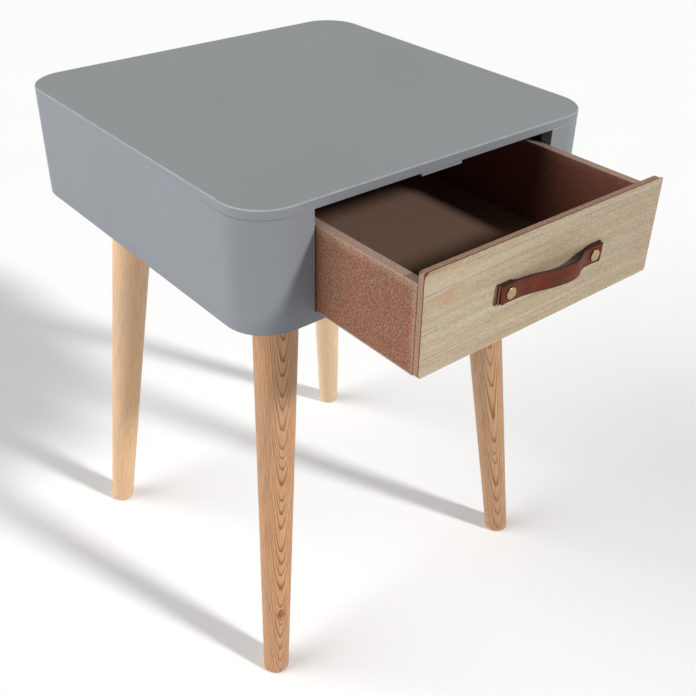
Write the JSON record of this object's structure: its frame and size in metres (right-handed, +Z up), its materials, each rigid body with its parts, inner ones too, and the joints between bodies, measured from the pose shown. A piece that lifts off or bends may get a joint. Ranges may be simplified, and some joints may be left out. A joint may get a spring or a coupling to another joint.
{
  "type": "side table with drawer",
  "caption": "Square side table with rounded corners, an inset drawer with a leather strap handle, and splayed tapered round legs.",
  "frame": {"origin": "on the floor, midway between the four feet and under the middle of the table top", "axes": "+X to the right seen from the front, +Y to the back (the drawer pulls out along -Y), +Z up"},
  "size_m": [0.4, 0.5372, 0.55],
  "materials": {
    "grey_top": "satin grey paint",
    "grey_walls": "satin grey paint",
    "grey_bottom": "satin grey paint",
    "kicker_wood": "bare batten with a painted front end",
    "mdf_front": "bare brown fibreboard",
    "mdf_sides": "bare brown fibreboard",
    "mdf_back": "bare brown fibreboard",
    "hardboard": "bare hardboard",
    "pale_veneer": "pale straight-grained veneer, unvarnished",
    "strap_leather": "waxed brown leather",
    "spacer_leather": "brown leather with raw edges",
    "brass": "polished",
    "plated_steel": "zinc plated",
    "beech": "bare beech",
    "pine_front_left": "oiled pine",
    "pine_front_right": "oiled pine",
    "pine_back_left": "oiled pine",
    "pine_back_right": "oiled pine"
  },
  "bodies": {
    "cabinet": {"back_wall": "grey_walls", "bottom_panel": "grey_bottom", "carcass_screws": "plated_steel", "corner_post_back_left": "grey_walls", "corner_post_back_right": "grey_walls", "corner_post_front_left": "grey_walls", "corner_post_front_right": "grey_walls", "drawer_guide_left": "beech", "drawer_guide_right": "beech", "front_jamb_left": "grey_walls", "front_jamb_right": "grey_walls", "hanger_bolts": "plated_steel", "kicker_strip": "kicker_wood", "leg_back_left": "pine_back_left", "leg_back_right": "pine_back_right", "leg_block_back_left": "grey_bottom", "leg_block_back_right": "grey_bottom", "leg_block_front_left": "grey_bottom", "leg_block_front_right": "grey_bottom", "leg_block_screws": "plated_steel", "leg_front_left": "pine_front_left", "leg_front_right": "pine_front_right", "side_wall_left": "grey_walls", "side_wall_right": "grey_walls", "threaded_inserts": "plated_steel", "top_dowels": "beech", "top_panel": "grey_top"},
    "drawer": {"bottom_pins": "plated_steel", "drawer_back": "mdf_back", "drawer_bottom": "hardboard", "drawer_face": "pale_veneer", "drawer_front": "mdf_front", "drawer_nails": "plated_steel", "drawer_side_left": "mdf_sides", "drawer_side_right": "mdf_sides", "handle_posts": "brass", "handle_screws": "brass", "handle_strap": "strap_leather", "strap_spacer_inner_left": "spacer_leather", "strap_spacer_inner_right": "spacer_leather", "strap_spacer_outer_left": "spacer_leather", "strap_spacer_outer_right": "spacer_leather"}
  },
  "joints": [
    {"name": "drawer_slide", "type": "slide", "parent": "cabinet", "child": "drawer", "axis": [0, -1, 0], "range_m": [-0.1235, 0.0965]}
  ]
}
